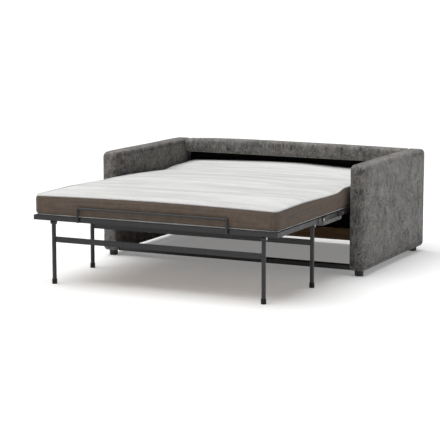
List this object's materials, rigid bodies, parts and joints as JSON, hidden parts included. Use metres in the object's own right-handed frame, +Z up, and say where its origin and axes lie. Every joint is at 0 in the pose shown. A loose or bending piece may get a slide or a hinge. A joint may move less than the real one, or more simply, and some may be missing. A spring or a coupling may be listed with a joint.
{
  "type": "sofa bed",
  "caption": "Sofa bed shown open: thin upholstered arms, low back rail over a dark recess, fold-out slatted steel deck on folding legs with a crowned mattress.",
  "frame": {"origin": "on the floor under the middle of the open bed's bounding box", "axes": "+X across the sofa, +Y towards its back, +Z up"},
  "size_m": [1.6, 1.886, 0.6039],
  "materials": {
    "upholstery": "mottled charcoal-grey chenille",
    "ticking": "white mattress ticking",
    "lining": "black non-woven lining",
    "black_steel": "black powder coat",
    "zinc": "zinc plated",
    "timber": "sawn softwood",
    "slat": "clear beech laminate",
    "board": "raw board",
    "black_plastic": "moulded",
    "rubber": "moulded"
  },
  "bodies": {
    "sofa_frame": {"right_arm_frame": "timber", "left_arm_frame": "timber", "right_arm_boards": "board", "left_arm_boards": "board", "right_arm_cover": "upholstery", "left_arm_cover": "upholstery", "back_rail_beam": "timber", "back_rail_cover": "upholstery", "back_board": "board", "back_cover": "upholstery", "back_lining": "lining", "lower_back_rail": "timber", "front_tie_tube": "black_steel", "floor_glides": "black_plastic", "right_side_plate": "black_steel", "left_side_plate": "black_steel", "side_plate_screws": "zinc", "frame_pivot_pins": "zinc"},
    "swing_links": {"swing_links": "black_steel"},
    "head_section": {"head_frame": "black_steel", "head_slats": "slat", "head_slat_holders": "black_plastic", "head_mattress": "ticking"},
    "body_section": {"body_frame": "black_steel", "body_slats": "slat", "body_slat_holders": "black_plastic", "body_pivot_pins": "zinc", "head_fold_mattress": "ticking", "body_mattress": "ticking"},
    "mid_section": {"mid_frame": "black_steel", "mid_slats": "slat", "mid_slat_holders": "black_plastic", "foot_fold_mattress": "ticking", "apron_board": "board", "apron_cover": "upholstery"},
    "foot_section": {"foot_frame": "black_steel", "foot_slats": "slat", "foot_slat_holders": "black_plastic", "foot_pivot_pins": "zinc", "foot_mattress": "ticking", "mattress_stop_bar": "black_steel", "leg_brackets": "black_steel", "leg_bracket_pins": "zinc"},
    "middle_legs": {"middle_legs": "black_steel", "middle_leg_tips": "rubber"},
    "foot_legs": {"foot_legs": "black_steel", "foot_leg_tips": "rubber"}
  },
  "joints": [
    {"name": "swing_link_turn", "type": "hinge", "parent": "sofa_frame", "child": "swing_links", "pos_m": [0, 0.46896, 0.361], "axis": [1, 0, 0], "range_deg": [0, 52]},
    {"name": "link_top_turn", "type": "hinge", "parent": "swing_links", "child": "body_section", "pos_m": [0, 0.11304, 0.353], "axis": [-1, 0, 0], "range_deg": [0, 52]},
    {"name": "head_fold", "type": "hinge", "parent": "body_section", "child": "head_section", "pos_m": [0, 0.55104, 0.353], "axis": [1, 0, 0], "range_deg": [0, 52], "deforming": ["head_fold_mattress"]},
    {"name": "front_fold", "type": "hinge", "parent": "body_section", "child": "mid_section", "pos_m": [0, -0.08996, 0.353], "axis": [-1, 0, 0], "range_deg": [0, 90], "deforming": ["foot_fold_mattress"]},
    {"name": "foot_fold", "type": "hinge", "parent": "mid_section", "child": "foot_section", "pos_m": [0, -0.35996, 0.353], "axis": [-1, 0, 0], "range_deg": [0, 90]},
    {"name": "middle_leg_fold", "type": "hinge", "parent": "foot_section", "child": "middle_legs", "pos_m": [0, -0.39996, 0.3261], "axis": [-1, 0, 0], "range_deg": [0, 90]},
    {"name": "foot_leg_fold", "type": "hinge", "parent": "foot_section", "child": "foot_legs", "pos_m": [0, -0.88496, 0.3261], "axis": [1, 0, 0], "range_deg": [0, 90]}
  ],
  "couplings": [
    {"joint": "link_top_turn", "follows": "swing_link_turn", "ratio": 1},
    {"joint": "head_fold", "follows": "swing_link_turn", "ratio": 1},
    {"joint": "front_fold", "follows": "swing_link_turn", "ratio": 1.7308},
    {"joint": "foot_fold", "follows": "swing_link_turn", "ratio": 1.7308},
    {"joint": "middle_leg_fold", "follows": "swing_link_turn", "ratio": 1.7308},
    {"joint": "foot_leg_fold", "follows": "swing_link_turn", "ratio": 1.7308}
  ]
}
